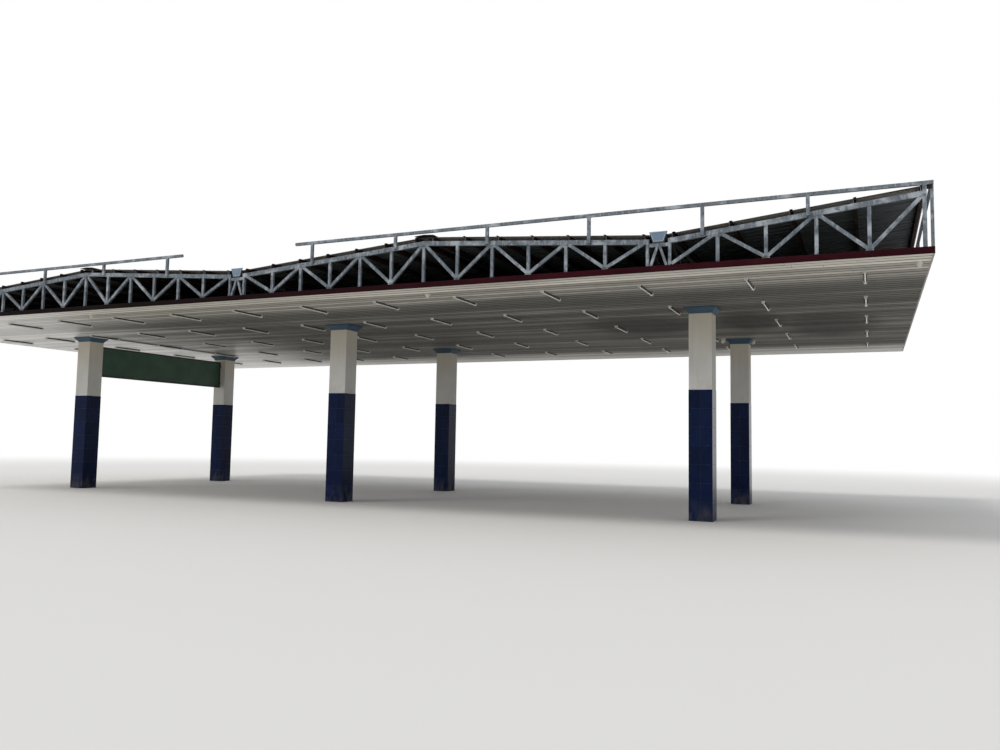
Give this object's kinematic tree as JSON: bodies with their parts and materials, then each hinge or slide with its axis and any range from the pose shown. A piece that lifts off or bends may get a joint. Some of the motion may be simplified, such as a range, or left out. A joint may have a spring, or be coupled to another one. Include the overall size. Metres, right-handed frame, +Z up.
{
  "type": "filling station canopy",
  "caption": "Open canopy on square columns: lattice box girders and gable trusses carry ribbed roof sheets, valley gutters, a strip ceiling with lights, and a fascia rail.",
  "frame": {"origin": "on the ground, under the middle of the canopy's plan", "axes": "+X along the canopy to the right seen from the front, +Y from front to rear, +Z up"},
  "size_m": [27.84, 14.58, 5.86],
  "materials": {
    "column_render": "painted smooth render",
    "glazed_tile": "glazed square tiles",
    "capital_paint": "satin paint",
    "ceiling_metal": "satin coated strips",
    "edge_paint": "matt primer",
    "frame_paint": "satin paint",
    "purlin_steel": "dull primer, weathered",
    "roof_metal": "weathered coated sheet",
    "zinc_steel": "bright zinc",
    "light_cover": "aged white",
    "sign_trim": "dark paint",
    "sign_paint": "gloss paint"
  },
  "bodies": {
    "root": {"box_girder_left": "frame_paint", "box_girder_middle": "frame_paint", "box_girder_right": "frame_paint", "capitals_front": "capital_paint", "capitals_rear": "capital_paint", "ceiling": "ceiling_metal", "ceiling_joists": "zinc_steel", "column_front_left": "column_render", "column_front_middle": "column_render", "column_front_right": "column_render", "column_rear_left": "column_render", "column_rear_middle": "column_render", "column_rear_right": "column_render", "column_tiles_front": "glazed_tile", "column_tiles_rear": "glazed_tile", "edge_beam_front": "edge_paint", "edge_beam_left": "edge_paint", "edge_beam_rear": "edge_paint", "edge_beam_right": "edge_paint", "girder_cross_bars": "frame_paint", "gutter_left": "zinc_steel", "gutter_middle": "zinc_steel", "gutter_right": "zinc_steel", "lights_row_1": "light_cover", "lights_row_2": "light_cover", "lights_row_3": "light_cover", "lights_row_4": "light_cover", "lights_row_5": "light_cover", "purlins_left_gable": "purlin_steel", "purlins_left_wing": "purlin_steel", "purlins_right_gable": "purlin_steel", "purlins_right_wing": "purlin_steel", "rail_front_left": "frame_paint", "rail_front_right": "frame_paint", "rail_left": "frame_paint", "rail_rear": "frame_paint", "rail_right": "frame_paint", "ridge_caps": "roof_metal", "roof_sheet_left_gable_left": "roof_metal", "roof_sheet_left_gable_right": "roof_metal", "roof_sheet_left_wing": "roof_metal", "roof_sheet_right_gable_left": "roof_metal", "roof_sheet_right_gable_right": "roof_metal", "roof_sheet_right_wing": "roof_metal", "sign_frame": "sign_trim", "sign_panel": "sign_paint", "truss_front_left_gable": "frame_paint", "truss_front_left_wing": "frame_paint", "truss_front_right_gable": "frame_paint", "truss_front_right_wing": "frame_paint", "trusses_front_row": "frame_paint", "trusses_rear": "frame_paint", "trusses_rear_row": "frame_paint"}
  },
  "joints": []
}
